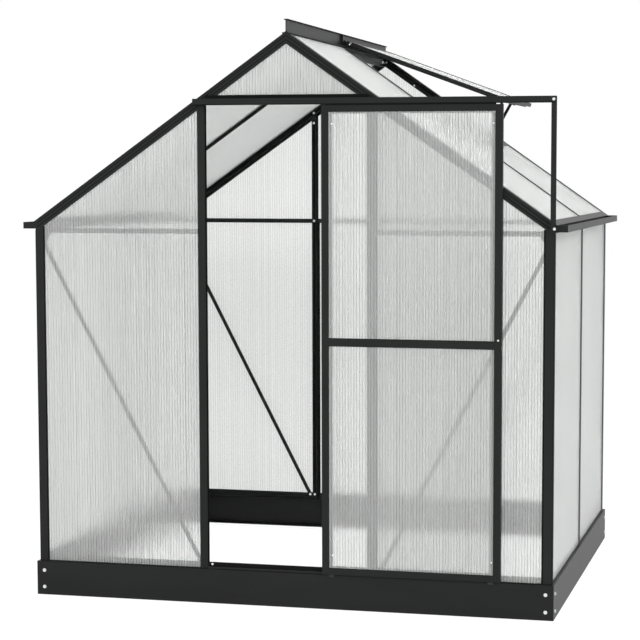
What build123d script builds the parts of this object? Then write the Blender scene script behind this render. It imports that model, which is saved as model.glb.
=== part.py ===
"""Walk-in greenhouse: aluminium glazing bars on a steel base, twin-wall panels, sliding door, roof vent.

Frame: X across the front, Y from front to back, Z up, origin in the middle of the footprint on the ground.
The front gable faces -Y. All lengths are millimetres.
"""
from build123d import *
from math import atan2, cos, degrees, hypot, radians, sin, tan
import os

# Driving sizes of the building
base_width = 1900.0
base_depth = 1570.0
base_height = 123.0
base_sheet = 1.5
base_flange = 40.0
wall_inset = 10.0           # wall faces stand back from the base faces
eave_height = 1367.0        # roof surface where it meets the outer wall face
roof_pitch = 35.0           # degrees

# Glazing
sheet = 4.0                 # twin-wall panel thickness
slot = 4.8                  # channel that takes a panel edge
edge_play = 0.4             # panel edge to the bottom of its channel
skin = 1.6                  # wall of the extruded bars

# Extruded bars
bar_width = 28.0            # stud, door post and middle rafter across their face
bar_web = 6.0
bar_depth = 16.0            # side studs and middle rafters
post_depth = 22.0           # gable posts, corner posts and end rafters
corner_face = 29.0          # corner post across its front face
corner_side = 36.0          # corner post and end rafter across their side face
rafter_face = 34.5          # end rafter across its front face
mitre_gap = 0.4             # between two rafters at the apex
slot_depth = 12.0
channel_leg = 1.6           # walls of the bolt channel
channel_half = 5.2          # half its inner width
channel_mouth = 3.4         # half the gap between its lips
channel_middle = 16.0       # its place across a corner post or end rafter

# Door opening and door
door_opening = 596.0
header_height = 35.5
header_drop = 252.5         # underside of the header and of the track below the apex
door_width = 636.0
door_margin = 174.5         # from the open door's right edge to the side wall's face
door_floor_gap = 3.0
door_track_gap = 3.6
door_stile = 24.5
door_flange = 14.0          # inner flange of a stile behind the sheet, past its face
door_rail_top = 21.0
door_rail_mid = 26.0
door_rail_low = 23.0
door_lower_bay = 810.0      # bottom of the door to its middle rail
door_depth = 16.0
door_gap = 2.0              # back of the door to the wall face
rail_lip = 8.0              # back skin of a door rail stands this much deeper than the front skin

# Track and its post
track_overrun_left = 18.0   # track beyond the closed door
track_overrun_right = 6.0   # track beyond the side wall's face
track_height = 22.5
track_depth = 22.0
track_lip = 7.0
track_post_width = 16.0
track_post_drop = 33.0      # foot of the track's post below the eave
track_tongue_width = 12.0
track_tongue_length = 17.0
wheel_radius = 9.3
wheel_width = 5.6
wheel_gap = 0.3
axle_radius = 2.5
pivot_play = 0.05           # running clearance on the radius
hanger_width = 8.0
hanger_sheet = 3.0
hanger_inset = 6.0
rail_fin = 3.0              # fin on the door's top rail that closes the track's mouth
rail_fin_rise = 7.6
guide_length = 20.0
guide_drop = 8.0
guide_thick = 6.0
guide_play = 0.6

# Sills, ties and braces
sill_lip = 4.0
sill_upstand = 24.0
sill_depth = 20.0
sill_toe = 8.0
tie_drop = 46.0             # underside of the ties below the eave
tie_width = 18.0
brace_width = 15.0
strap = 2.5                 # thickness of ties and braces
brace_drop = 72.0           # top bolt of a brace below the eave
brace_foot_out = 20.0       # foot of a brace outside the post's middle
brace_foot_rise = 20.0      # and above the base
plate = 2.0                 # joint plates
plate_half = 8.0
gusset_reach = 22.0         # corner gusset past the corner post's face
gusset_drop = 12.0          # and below the brace's bolt
apex_bolt = 9.0             # apex bolts from the middle
knee_drop = 20.0            # a post's upper bolt below its end

# Eave gutter
gutter_reach = 47.0
gutter_drop = 30.5          # gutter floor below the eave
gutter_height = 23.5
eave_drip = 12.0            # the roof skin reaches this far past the wall, over the gutter
eave_skirt = 35.0           # the eave bar's wall skin hangs this far below the roof surface
eave_cover = 16.0           # the eave bar's roof skin reaches this far up the slope
cap_end = 2.0

# Ridge
ridge_rise = 42.8           # top of the ridge bar above the apex of the roof surfaces
ridge_web = 3.0
ridge_head = 14.0
ridge_head_thick = 3.0
ridge_cover = 16.0
ridge_seat = 5.5            # a roof sheet's edge reaches this far under the ridge bar
ridge_lip = 5.0             # raised lip at the end of each cover
ridge_spine_half = 4.0
ridge_spine_drop = 45.0
stop_width = 6.0
stop_height = 31.0
stop_thick = 10.0

# Roof vent, drawn closed in slope and normal distances, then swung open about its hinge
hinge_x = 14.0
hinge_rise = 12.8
vent_open_angle = 15.0
vent_near = 8.0             # edge beside the middle rafter, from the middle of the roof
vent_end_gap = 23.0         # rear edge inside the gable's face
vent_length = 652.0
vent_rail = 20.0
vent_thick = 15.5
vent_above_hinge = 8.0
vent_start = 8.0
vent_lip = 2.0
vent_drip = 6.5             # drip lip of the vent's lower rail
socket_inner = 4.0
socket_wall = 2.0
socket_mouth_low = -60.0    # degrees, where the hinge socket is open
socket_mouth_high = 10.0
neck_thick = 2.4
vent_lap = 22.0             # how far the closed vent covers the bar below it
vent_sill_cover = 24.0
vent_sill_slot = 10.0
vent_sill_depth = 12.0

# Stay that props the vent
stay_place_share = 0.621    # along the vent's width
stay_width = 12.0
stay_thick = 3.0
stay_length = 230.0
stay_pivot_inset = 36.0     # pivot up the slope from the vent's lower edge
stay_pivot_normal = 7.0
peg_inset = 13.0            # peg up the slope from the bar below the opening
peg_normal = -12.0
peg_radius = 2.3
lug_thick = 3.0
lug_half = 6.0
lug_play = 0.5
hole_count = 5
hole_pitch = 25.0
pin_head_radius = 4.5
pin_head_thick = 2.0

# Fasteners
bolt_radius = 2.5
bolt_hole = 2.8
screw_radius = 1.7
bolt_flats = 8.0
bolt_head = 3.5
washer_radius = 5.0
washer_thick = 1.0
base_bolt_flats = 10.0
base_washer_radius = 6.5
base_bolt_inset = 28.0
base_bolt_low = 29.0
base_bolt_high = 90.0
base_angle_leg = 45.0
base_angle_height = 105.0
base_angle_low = 8.0
base_angle_sheet = 2.0
anchor_radius = 5.5         # holes in the base's bottom flanges for ground anchors
anchor_spacing = 1400.0
anchor_inset = 20.0
overrun = 5.0

# Worked-out places
half_width = base_width / 2 - wall_inset
half_depth = base_depth / 2 - wall_inset
front = -half_depth
pitch = radians(roof_pitch)
apex = eave_height + half_width * tan(pitch)
eave_slope = half_width / cos(pitch)
header_low = apex - header_drop
door_low = base_height + door_floor_gap
door_high = header_low - door_track_gap
door_mid_low = door_low + door_lower_bay
door_shift = half_width - door_margin - door_width / 2
track_left = door_width / 2 + track_overrun_left
track_right = half_width + track_overrun_right
track_post_low = eave_height - track_post_drop
tie_low = eave_height - tie_drop
brace_top_high = eave_height - brace_drop
brace_foot_high = base_height + brace_foot_rise
gutter_floor = eave_height - gutter_drop
ridge_top = apex + ridge_rise
hinge_z = apex + hinge_rise
hinge_slope = hinge_x * cos(pitch) - hinge_rise * sin(pitch)
hinge_normal = hinge_x * sin(pitch) + hinge_rise * cos(pitch)
vent_far = half_depth - vent_end_gap
vent_sill_start = hinge_slope + vent_length - vent_lap
stay_y = vent_near + stay_place_share * (vent_far - vent_near)
stay_pivot_slope = hinge_slope + vent_length - stay_pivot_inset
peg_slope = vent_sill_start - peg_inset
post_middle = door_opening / 2 + bar_width / 2
corner_edge = half_width - corner_face + slot_depth - edge_play
rear_sheet = (2 * corner_edge - 2 * (bar_web + 2 * edge_play)) / 3      # three equal sheets in the rear wall
rear_middle = rear_sheet / 2 + bar_web / 2 + edge_play
DOWN = (cos(pitch), 0, -sin(pitch))
OUT = (sin(pitch), 0, cos(pitch))
IN = (-sin(pitch), 0, -cos(pitch))
X, Y, Z = (1, 0, 0), (0, 1, 0), (0, 0, 1)

parts = {}


def roof(slope, normal, y=0.0):
    """Point on the right-hand roof slope: distance down from the apex, and out of the roof surface."""
    return (slope * cos(pitch) + normal * sin(pitch), y, apex - slope * sin(pitch) + normal * cos(pitch))


def roof_z(x, normal):
    """Height of the plane that lies `normal` out of the roof surface, above the place x."""
    return apex - abs(x) * tan(pitch) + normal / cos(pitch)


def box(x0, x1, y0, y1, z0, z1):
    """Block between two corners."""
    block = Box(x1 - x0, y1 - y0, z1 - z0, align=(Align.MIN, Align.MIN, Align.MIN))
    return Pos(x0, y0, z0) * block


def rect(u0, v0, u1, v1):
    """Rectangle between two corners of a section."""
    return Polygon((u0, v0), (u1, v0), (u1, v1), (u0, v1), align=None)


def joined(shapes):
    """One shape from touching ones."""
    whole = shapes[0]
    for shape in shapes[1:]:
        whole = whole + shape
    return whole


def prism(outline, origin, first, second, along, length):
    """Extrude a section drawn in the directions first and second, from origin, along one of the two ways."""
    normal = Vector(*first).cross(Vector(*second))
    way = 1 if normal.dot(Vector(*along)) > 0 else -1
    plane = Plane(origin=origin, x_dir=first, z_dir=(normal.X, normal.Y, normal.Z))
    return extrude(plane * outline, amount=way * length)


def cut_away(solid, point, normal):
    """Remove what lies on the normal's side of a plane."""
    return split(solid, bisect_by=Plane(origin=point, z_dir=normal), keep=Keep.BOTTOM)


def flip_x(solid):
    return mirror(solid, about=Plane.YZ)


def flip_y(solid):
    return mirror(solid, about=Plane.XZ)


def rod(start, along, radius, length):
    """Round bar from a point along a direction."""
    return extrude(Plane(origin=start, z_dir=along) * Circle(radius), amount=length)


def bolt_channel(middle, depth):
    """Legs and lips of the groove that holds bolt heads, behind a bar's back skin."""
    back = skin + slot + skin
    leg = channel_half + channel_leg
    shapes = []
    for side in (-1, 1):
        inner, outer, mouth = side * channel_half, side * leg, side * channel_mouth
        shapes.append(rect(middle + min(inner, outer), back, middle + max(inner, outer), depth))
        shapes.append(rect(middle + min(mouth, outer), depth - channel_leg, middle + max(mouth, outer), depth))
    return shapes


def glazing_section(depth):
    """Bar with a panel channel in both sides, drawn across and inwards from the middle of its face."""
    half, back = bar_width / 2, skin + slot
    shapes = [rect(-half, 0, half, skin), rect(-bar_web / 2, 0, bar_web / 2, back + skin),
              rect(-half, back, half, back + skin)]
    return joined(shapes + bolt_channel(0, depth))


def corner_section(face, side, channel=True):
    """Bar with two panel channels at right angles, drawn from its outer corner."""
    back = skin + slot
    outline = Polygon((0, 0), (face, 0), (face, skin), (face - slot_depth, skin), (face - slot_depth, back),
                      (face, back), (face, back + skin), (back + skin, back + skin), (back + skin, side),
                      (back, side), (back, side - slot_depth), (skin, side - slot_depth), (skin, side),
                      (0, side), align=None)
    if not channel:
        return outline
    return joined([outline] + bolt_channel(channel_middle, post_depth))


def flat_panel(points, origin, first, second, along):
    """Twin-wall sheet cut to an outline."""
    return prism(Polygon(*points, align=None), origin, first, second, along, sheet)


def hex_head(start, along, flats=bolt_flats, round_radius=washer_radius):
    """Hexagon head or nut on a washer, standing on a face."""
    plane = Plane(origin=start, z_dir=along)
    washer = extrude(plane * Circle(round_radius), amount=washer_thick)
    head = extrude(plane * RegularPolygon(flats / 2, 6, major_radius=False), amount=washer_thick + bolt_head)
    return washer + head


def through_bolt(start, along, grip, flats=bolt_flats, round_radius=washer_radius):
    """Bolt with its head at start, its shank through the grip and a nut on the far side."""
    way = Vector(*along)
    far = Vector(*start) + way * grip
    shank = rod(start, along, bolt_radius, grip)
    head = hex_head(start, tuple(-way), flats, round_radius)
    nut = hex_head(tuple(far), along, flats, round_radius)
    return head + shank + nut


def channel_bolt(face, along, stack, run):
    """Square-headed bolt in a bolt channel that runs along run; the nut clamps the stack on the channel's face."""
    way = Vector(*along)
    under = Vector(*face) - way * channel_leg
    plane = Plane(origin=tuple(under), x_dir=run, z_dir=tuple(-way))
    square = 2 * (channel_half - edge_play)
    head = extrude(plane * Rectangle(square, square), amount=bolt_head)
    shank = rod(tuple(under), along, bolt_radius, channel_leg + stack)
    nut = hex_head(tuple(Vector(*face) + way * stack), along)
    return head + shank + nut


def make_base():
    """Folded steel boards with flanges, and the angles inside their corners."""
    w, d, t = base_width / 2, base_depth / 2, base_sheet
    section = joined([rect(0, 0, t, base_height), rect(0, 0, base_flange, t),
                      rect(0, base_height - t, base_flange, base_height)])
    long_board = prism(section, (-w, -d, 0), Y, Z, X, base_width)
    tuck = t + edge_play
    side_board = prism(section, (w, -d + tuck, 0), (-1, 0, 0), Z, Y, base_depth - 2 * tuck)
    mitre = base_flange
    for sign in (-1, 1):
        corner = box(w - mitre, w + overrun, -d + t, -d + mitre + edge_play, -overrun, base_height + overrun)
        corner = corner if sign > 0 else flip_x(corner)
        long_board = long_board - corner
    angle = joined([rect(0, 0, base_angle_leg, base_angle_sheet), rect(0, 0, base_angle_sheet, base_angle_leg)])
    corner_angle = prism(angle, (w - t, -d + t, base_angle_low), (-1, 0, 0), Y, Z, base_angle_height)
    bolts, holes = [], []
    for height in (base_bolt_low, base_bolt_high):
        grip = t + base_angle_sheet
        places = [((w - base_bolt_inset, -d, height), Y), ((w, -d + base_bolt_inset, height), (-1, 0, 0))]
        for place, way in places:
            bolts.append(through_bolt(place, way, grip, base_bolt_flats, base_washer_radius))
            start = tuple(Vector(*place) - Vector(*way) * overrun)
            holes.append(rod(start, way, bolt_hole, grip + 2 * overrun))
    hole_set = joined(holes)
    four_holes = [hole_set, flip_x(hole_set), flip_y(hole_set), flip_x(flip_y(hole_set))]
    for hole in four_holes:
        long_board = long_board - hole
        side_board = side_board - hole
    for x in (-anchor_spacing / 2, anchor_spacing / 2):
        long_board = long_board - rod((x, anchor_inset - d, -overrun), Z, anchor_radius, t + 2 * overrun)
    corner_angle = corner_angle - hole_set
    parts["base_front"] = [long_board]
    parts["base_rear"] = [flip_y(long_board)]
    parts["base_right"] = [side_board]
    parts["base_left"] = [flip_x(side_board)]
    angles = [corner_angle, flip_x(corner_angle), flip_y(corner_angle), flip_x(flip_y(corner_angle))]
    parts["joint_plates"] = angles
    parts["frame_bolts"] = [turn(bolt) for turn in (lambda s: s, flip_x, flip_y, lambda s: flip_x(flip_y(s)))
                            for bolt in bolts]


def make_sills():
    """Low channels on the base that hold the lower panel edges."""
    z0, back = base_height, skin + slot
    section = joined([rect(0, z0, sill_depth, z0 + skin), rect(0, z0, skin, z0 + sill_lip),
                      rect(back, z0, back + skin, z0 + sill_upstand),
                      rect(sill_depth - skin, z0, sill_depth, z0 + sill_toe)])
    reach = half_width - corner_face
    front_sill = prism(section, (-reach, front, 0), Y, Z, X, 2 * reach)
    run = half_depth - corner_side
    side_sill = prism(section, (half_width, -run, 0), (-1, 0, 0), Z, Y, 2 * run)
    parts["sill_front"] = [front_sill]
    parts["sill_rear"] = [flip_y(front_sill)]
    parts["sill_right"] = [side_sill]
    parts["sill_left"] = [flip_x(side_sill)]


def sill_notch(depth):
    """Space at a post's foot, across its width and inwards, that the sill's upstand and toe take."""
    half = bar_width / 2 + overrun
    near = skin + slot - edge_play
    behind = skin + slot + skin + edge_play
    start = base_height - overrun
    tall = prism(rect(-half, near, half, behind), (0, 0, start), X, Y, Z, sill_upstand + edge_play + overrun)
    short = prism(rect(-half, near, half, depth + overrun), (0, 0, start), X, Y, Z, sill_toe + edge_play + overrun)
    return tall + short


def make_posts():
    """Corner posts, door posts and studs."""
    tall = apex - base_height
    corner = prism(corner_section(corner_face, corner_side), (half_width, front, base_height), (-1, 0, 0), Y, Z, tall)
    corner = cut_away(corner, roof(0, -rafter_face), OUT)
    parts["corner_post_front_right"] = [corner]
    parts["corner_post_front_left"] = [flip_x(corner)]
    parts["corner_post_rear_right"] = [flip_y(corner)]
    parts["corner_post_rear_left"] = [flip_x(flip_y(corner))]

    foot = base_height + sill_lip
    bar = prism(glazing_section(post_depth), (0, 0, foot), X, Y, Z, tall) - sill_notch(post_depth)
    post = cut_away(Pos(post_middle, front, 0) * bar, roof(0, -rafter_face), OUT)
    parts["door_post_right"] = [post]
    parts["door_post_left"] = [flip_x(post)]
    rear = flip_y(cut_away(Pos(rear_middle, front, 0) * bar, roof(0, -rafter_face), OUT))
    parts["rear_studs"] = [rear, flip_x(rear)]

    stud = prism(glazing_section(bar_depth), (0, 0, foot), X, Y, Z, eave_height - eave_skirt - foot)
    stud = stud - sill_notch(bar_depth)
    stud = Pos(half_width, 0, 0) * Rot(0, 0, 90) * stud
    parts["side_stud_right"] = [stud]
    parts["side_stud_left"] = [flip_x(stud)]


def make_rafters():
    """Gable rafters, and the middle rafters between the two roof bays."""
    start = -rafter_face * 2
    length = eave_slope + 4 * rafter_face
    end = prism(corner_section(rafter_face, corner_side), roof(start, 0, front), IN, Y, DOWN, length)
    end = cut_away(end, (mitre_gap / 2, 0, 0), (-1, 0, 0))
    end = cut_away(end, (half_width, 0, 0), X)
    parts["rafter_front_right"] = [end]
    parts["rafter_front_left"] = [flip_x(end)]
    parts["rear_rafters"] = [flip_y(end), flip_x(flip_y(end))]

    run = eave_slope - eave_cover - ridge_cover
    middle = prism(glazing_section(bar_depth), roof(ridge_cover, 0), Y, IN, DOWN, run)
    middle = cut_away(middle, (ridge_spine_half + mitre_gap / 2, 0, 0), (-1, 0, 0))
    parts["rafter_mid_right"] = [middle]
    parts["rafter_mid_left"] = [flip_x(middle)]


def hinge_socket():
    """Hooked groove along the ridge; a vent's bead slides into it."""
    outer = socket_inner + socket_wall
    reach = 3 * outer
    low, high = radians(socket_mouth_low), radians(socket_mouth_high)
    mouth = Polygon((0, 0), (reach * cos(low), reach * sin(low)), (reach * cos(high), reach * sin(high)),
                    align=None)
    ring = Circle(outer) - Circle(socket_inner) - mouth
    arm = rect(-hinge_x, -socket_wall / 2, -socket_inner - socket_wall / 2, socket_wall / 2)
    return Pos(hinge_x, hinge_z - apex) * (ring + arm)


def make_ridge():
    """Ridge bar: a tall web, covers over both slopes, panel channels below and the vent's hinge groove."""
    def slope_rect(s0, n0, s1, n1):
        points = [(s * cos(pitch) + n * sin(pitch), -s * sin(pitch) + n * cos(pitch))
                  for s, n in ((s0, n0), (s1, n0), (s1, n1), (s0, n1))]
        return Polygon(*points, align=None)

    top = ridge_top - apex
    web = rect(-ridge_web / 2, 0, ridge_web / 2, top)
    head = rect(-ridge_head / 2, top - ridge_head_thick, ridge_head / 2, top)
    cover = slope_rect(0, 0, ridge_cover, skin)
    cover_end = ridge_cover * cos(pitch)
    cover_top = skin / cos(pitch) - cover_end * tan(pitch)
    cover = cover + rect(cover_end - skin, cover_top, cover_end, cover_top + ridge_lip)
    upper = web + head + cover + mirror(cover, about=Plane.YZ)
    back = skin + slot
    mouth = ridge_cover - ridge_seat
    shelf = slope_rect(0, -back - skin, ridge_cover, -back)
    block = slope_rect(0, -back - skin, mouth, 0)
    lap = slope_rect(0, -skin, ridge_cover, skin)
    wings = shelf + block + lap
    spine = rect(-ridge_spine_half, -ridge_spine_drop, ridge_spine_half, 0)
    lower = spine + wings + mirror(wings, about=Plane.YZ)

    ridge = prism(upper, (0, front, apex), X, Z, Y, 2 * half_depth)
    inner = half_depth - corner_side
    ridge = ridge + prism(lower, (0, -inner, apex), X, Z, Y, 2 * inner)
    ridge = ridge + prism(hinge_socket(), (0, vent_near, apex), X, Z, Y, vent_far - vent_near)
    stop_low = ridge_top - ridge_head_thick - stop_height
    ridge = ridge + box(0, stop_thick, -stop_width / 2, stop_width / 2, stop_low, ridge_top - ridge_head_thick)
    parts["ridge_bar"] = [ridge]


def make_eaves():
    """Eave bars: panel channels for wall and roof, with the gutter outside them."""
    w, back = half_width, skin + slot
    skirt = eave_height - eave_skirt

    def slope_rect(s0, n0, s1, n1):
        points = [(roof(s, n)[0], roof(s, n)[2]) for s, n in ((s0, n0), (s1, n0), (s1, n1), (s0, n1))]
        return Polygon(*points, align=None)

    up = eave_slope - eave_cover
    mouth = up + slot_depth
    slot_top = skirt + slot_depth
    wall = joined([rect(w - skin, skirt, w, eave_height), rect(w - back - skin, skirt, w - back, slot_top),
                   rect(w - back - skin, slot_top - skin, w, slot_top + skin)])
    lap = slope_rect(up, -skin, eave_slope + eave_cover, 0)
    shelf = slope_rect(up, -back - skin, mouth, -back)
    block = slope_rect(mouth, -back - skin, eave_slope + eave_cover, 0)
    rib = Polygon((w - back - skin, slot_top), (w, slot_top), (w, eave_height),
                  (w - back - skin, roof_z(w - back - skin, -back - skin)), align=None)
    inner = joined([wall, lap, block, rib, shelf]) - rect(w, skirt - overrun, w + base_width, apex)
    run = half_depth - corner_side
    eave = prism(inner, (0, -run, 0), X, Z, Y, 2 * run)

    floor, rim, reach = gutter_floor, gutter_floor + gutter_height, w + gutter_reach
    trough = joined([rect(w, floor, reach, floor + skin), rect(reach - skin, floor, reach, rim),
                     rect(w, floor, w + skin, eave_height - skin)])
    drip = slope_rect(eave_slope - skin, -skin, eave_slope + eave_drip, 0) - rect(0, skirt, w, apex)
    eave = eave + prism(trough, (0, front, 0), X, Z, Y, 2 * half_depth)
    eave = eave + prism(drip, (0, front, 0), X, Z, Y, 2 * half_depth)
    cap = box(w, reach, front, front + cap_end, floor, rim)
    eave = eave + cap + flip_y(cap)
    parts["gutter_right"] = [eave]
    parts["gutter_left"] = [flip_x(eave)]


def make_header_and_track():
    """Header over the doorway, the door's track in front of it and the post at the track's far end."""
    low, high, back = header_low, header_low + header_height, skin + slot
    section = joined([rect(0, low, skin, high), rect(0, low, back + skin, low + skin),
                      rect(0, high - slot_depth - skin, back + skin, high - slot_depth),
                      rect(back, low, back + skin, high)])
    half = door_opening / 2
    header = prism(section, (-half, front, 0), Y, Z, X, 2 * half)
    under = roof(0, -rafter_face)
    header = cut_away(header, under, OUT)
    header = flip_x(cut_away(flip_x(header), under, OUT))
    parts["door_header"] = [header]

    near, face = front, front - track_depth
    track_top = low + track_height
    section = joined([rect(near - skin, low, near, track_top), rect(face, track_top - skin, near, track_top),
                      rect(face, low, face + skin, track_top), rect(face, low, face + track_lip, low + skin),
                      rect(near - track_lip, low, near, low + skin)])
    track = prism(section, (-track_left, 0, 0), Y, Z, X, track_left + track_right)

    right = track_right
    left = right - track_post_width
    post = box(left, right, face, face + skin, track_post_low, low)
    post = post + box(left, left + skin, face, near, track_post_low, low)
    post = post + box(left, right, near - skin, near, track_post_low, low)
    tongue_left = (left + right - track_tongue_width) / 2
    tongue = box(tongue_left, tongue_left + track_tongue_width, face + skin, face + 2 * skin,
                 low - track_tongue_length, low + track_tongue_length)
    post = post + tongue
    middle = (left + right) / 2
    track = track - box(left - edge_play, right + overrun, face + skin, near - skin, low - overrun, low + skin)
    upper_bolt = (middle, face, low + track_height / 2)
    hole = rod((middle, face - overrun, upper_bolt[2]), Y, bolt_hole, 2 * skin + 2 * overrun)
    screw_x = half_width + skin + screw_radius + edge_play
    screw_z = gutter_floor + gutter_height / 2
    screw_length = track_depth + cap_end + overrun
    screw = rod((screw_x, face, screw_z), Y, screw_radius, screw_length)
    pilot = rod((screw_x, face - overrun, screw_z), Y, screw_radius + pivot_play, screw_length + overrun)
    parts["door_track"] = [track - hole]
    parts["track_post"] = [post - hole - pilot]
    parts["frame_bolts"].append(through_bolt(upper_bolt, Y, 2 * skin))
    parts["frame_bolts"].append(screw + hex_head((screw_x, face, screw_z), (0, -1, 0)))
    parts["gutter_right"] = [parts["gutter_right"][0] - pilot]


def strap_between(start, end, y):
    """Flat bar with rounded-off places for its end bolts, lying across the inside of a gable."""
    length = hypot(end[0] - start[0], end[1] - start[1])
    turn = degrees(atan2(end[1] - start[1], end[0] - start[0]))
    outline = SlotCenterToCenter(length, brace_width)
    middle = ((start[0] + end[0]) / 2, (start[1] + end[1]) / 2)
    plane = Plane(origin=(0, y, 0), x_dir=X, z_dir=(0, -1, 0))
    placed = plane * (Pos(middle[0], middle[1]) * (Rot(0, 0, turn) * outline))
    bar = extrude(placed, amount=-strap)
    for x, z in (start, end):
        bar = bar - rod((x, y - overrun, z), Y, bolt_hole, strap + 2 * overrun)
    return bar


def drilled(solid, places, y, grip):
    """Bolt holes through a flat piece of a gable."""
    for x, z in places:
        solid = solid - rod((x, y - overrun, z), Y, bolt_hole, grip + 2 * overrun)
    return solid


def gable_kit(middle):
    """Plates, braces and bolts inside a gable whose posts stand at middle, drawn on the front gable's right."""
    y = front + post_depth
    corner_x = half_width - channel_middle
    tie_z = tie_low + tie_width / 2
    foot_x = middle + brace_foot_out
    brace = Pos(0, plate, 0) * strap_between((corner_x, brace_top_high), (foot_x, brace_foot_high), y)

    foot = box(middle - plate_half, foot_x + plate_half, y, y + plate, brace_foot_high - plate_half,
               brace_foot_high + plate_half)
    foot = drilled(foot, [(middle, brace_foot_high), (foot_x, brace_foot_high)], y, plate)
    knee_low = roof_z(middle, -rafter_face) - knee_drop
    knee_high = roof_z(middle, -channel_middle)
    knee = box(middle - plate_half, middle + plate_half, y, y + plate, knee_low - plate_half, knee_high + plate_half)
    knee = cut_away(knee, roof(0, -channel_middle + channel_half + channel_leg), OUT)
    knee = drilled(knee, [(middle, knee_low), (middle, knee_high)], y, plate)
    wall = channel_half + channel_leg
    top, low = tie_low - edge_play, brace_top_high - gusset_drop
    inner = half_width - corner_face
    outline = Polygon((corner_x + wall, low), (corner_x + wall, top), (inner - gusset_reach, top), (inner, low),
                      align=None)
    gusset = drilled(prism(outline, (0, y, 0), X, Z, Y, plate), [(corner_x, brace_top_high)], y, plate)

    stack = plate + strap
    sites = [((corner_x, tie_z), strap, Z), ((middle, tie_z), strap, Z), ((corner_x, brace_top_high), stack, Z),
             ((middle, brace_foot_high), plate, Z), ((middle, knee_low), plate, Z), ((middle, knee_high), plate, DOWN),
             ((apex_bolt, roof_z(apex_bolt, -channel_middle)), plate, DOWN)]
    bolts = [channel_bolt((x, y, z), Y, thick, run) for (x, z), thick, run in sites]
    bolts.append(through_bolt((foot_x, y, brace_foot_high), Y, stack))
    return brace, [foot, knee, gusset], bolts


def make_ties_and_braces():
    """Tie straps at eave height, diagonal braces, and the plates that join posts, rafters and sills."""
    y = front + post_depth
    corner_x = half_width - channel_middle
    tie_z = tie_low + tie_width / 2
    wall = channel_half + channel_leg

    def tie(x0, x1, holes):
        bar = box(x0, x1, y, y + strap, tie_low, tie_low + tie_width)
        return drilled(bar, [(x, tie_z) for x in holes], y, strap)

    front_tie = tie(post_middle - tie_width / 2, corner_x + wall, (post_middle, corner_x))
    rear_tie = tie(-corner_x - wall, corner_x + wall, (-corner_x, -rear_middle, rear_middle, corner_x))
    parts["front_ties"] = [front_tie, flip_x(front_tie)]
    parts["rear_tie"] = [flip_y(rear_tie)]

    arm = apex_bolt + plate_half
    lower, upper = -channel_middle - plate_half, -channel_middle + wall
    outline = Polygon((-arm, roof_z(arm, lower)), (0, roof_z(0, lower)), (arm, roof_z(arm, lower)),
                      (arm, roof_z(arm, upper)), (0, roof_z(0, upper)), (-arm, roof_z(arm, upper)), align=None)
    apex_plate = extrude(Plane(origin=(0, y, 0), x_dir=X, z_dir=(0, -1, 0)) * outline, amount=-plate)
    high = roof_z(apex_bolt, -channel_middle)
    apex_plate = drilled(apex_plate, [(-apex_bolt, high), (apex_bolt, high)], y, plate)

    for name, middle, gable in (("front_braces", post_middle, lambda s: s), ("rear_braces", rear_middle, flip_y)):
        brace, plates, bolts = gable_kit(middle)
        parts[name] = [gable(brace), gable(flip_x(brace))]
        for piece in plates:
            parts["joint_plates"] += [gable(piece), gable(flip_x(piece))]
        parts["joint_plates"].append(gable(apex_plate))
        for bolt in bolts:
            parts["frame_bolts"] += [gable(bolt), gable(flip_x(bolt))]


def make_wall_panels():
    """Twin-wall sheets of the four walls."""
    y = front + skin + (slot - sheet) / 2
    low = base_height + skin + edge_play
    under = -rafter_face + slot_depth - edge_play

    def side_sheet(middle):
        edge = middle + bar_web / 2 + edge_play
        outline = [(edge, low), (corner_edge, low), (corner_edge, roof_z(corner_edge, under)),
                   (edge, roof_z(edge, under))]
        return flat_panel(outline, (0, y, 0), X, Z, Y)

    right = side_sheet(post_middle)
    parts["panel_front_right"] = [right]
    parts["panel_front_left"] = [flip_x(right)]
    gable_low = header_low + header_height - slot_depth + edge_play
    gable_half = (apex + under / cos(pitch) - gable_low) / tan(pitch)
    gable = [(-gable_half, gable_low), (gable_half, gable_low), (0, roof_z(0, under))]
    parts["panel_front_gable"] = [flat_panel(gable, (0, y, 0), X, Z, Y)]
    edge = rear_middle - bar_web / 2 - edge_play
    middle = [(-edge, low), (edge, low), (edge, roof_z(edge, under)), (0, roof_z(0, under)),
              (-edge, roof_z(edge, under))]
    centre = flat_panel(middle, (0, y, 0), X, Z, Y)
    outer = side_sheet(rear_middle)
    parts["panels_rear"] = [flip_y(outer), flip_x(flip_y(outer)), flip_y(centre)]

    x = half_width - skin - (slot + sheet) / 2
    top = eave_height - eave_skirt + slot_depth - skin - edge_play
    near = front + corner_side - slot_depth + edge_play
    far = -bar_web / 2 - edge_play
    wall = flat_panel([(near, low), (far, low), (far, top), (near, top)], (x, 0, 0), Y, Z, X)
    parts["panels_right"] = [wall, flip_y(wall)]
    parts["panels_left"] = [flip_x(wall), flip_x(flip_y(wall))]


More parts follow.
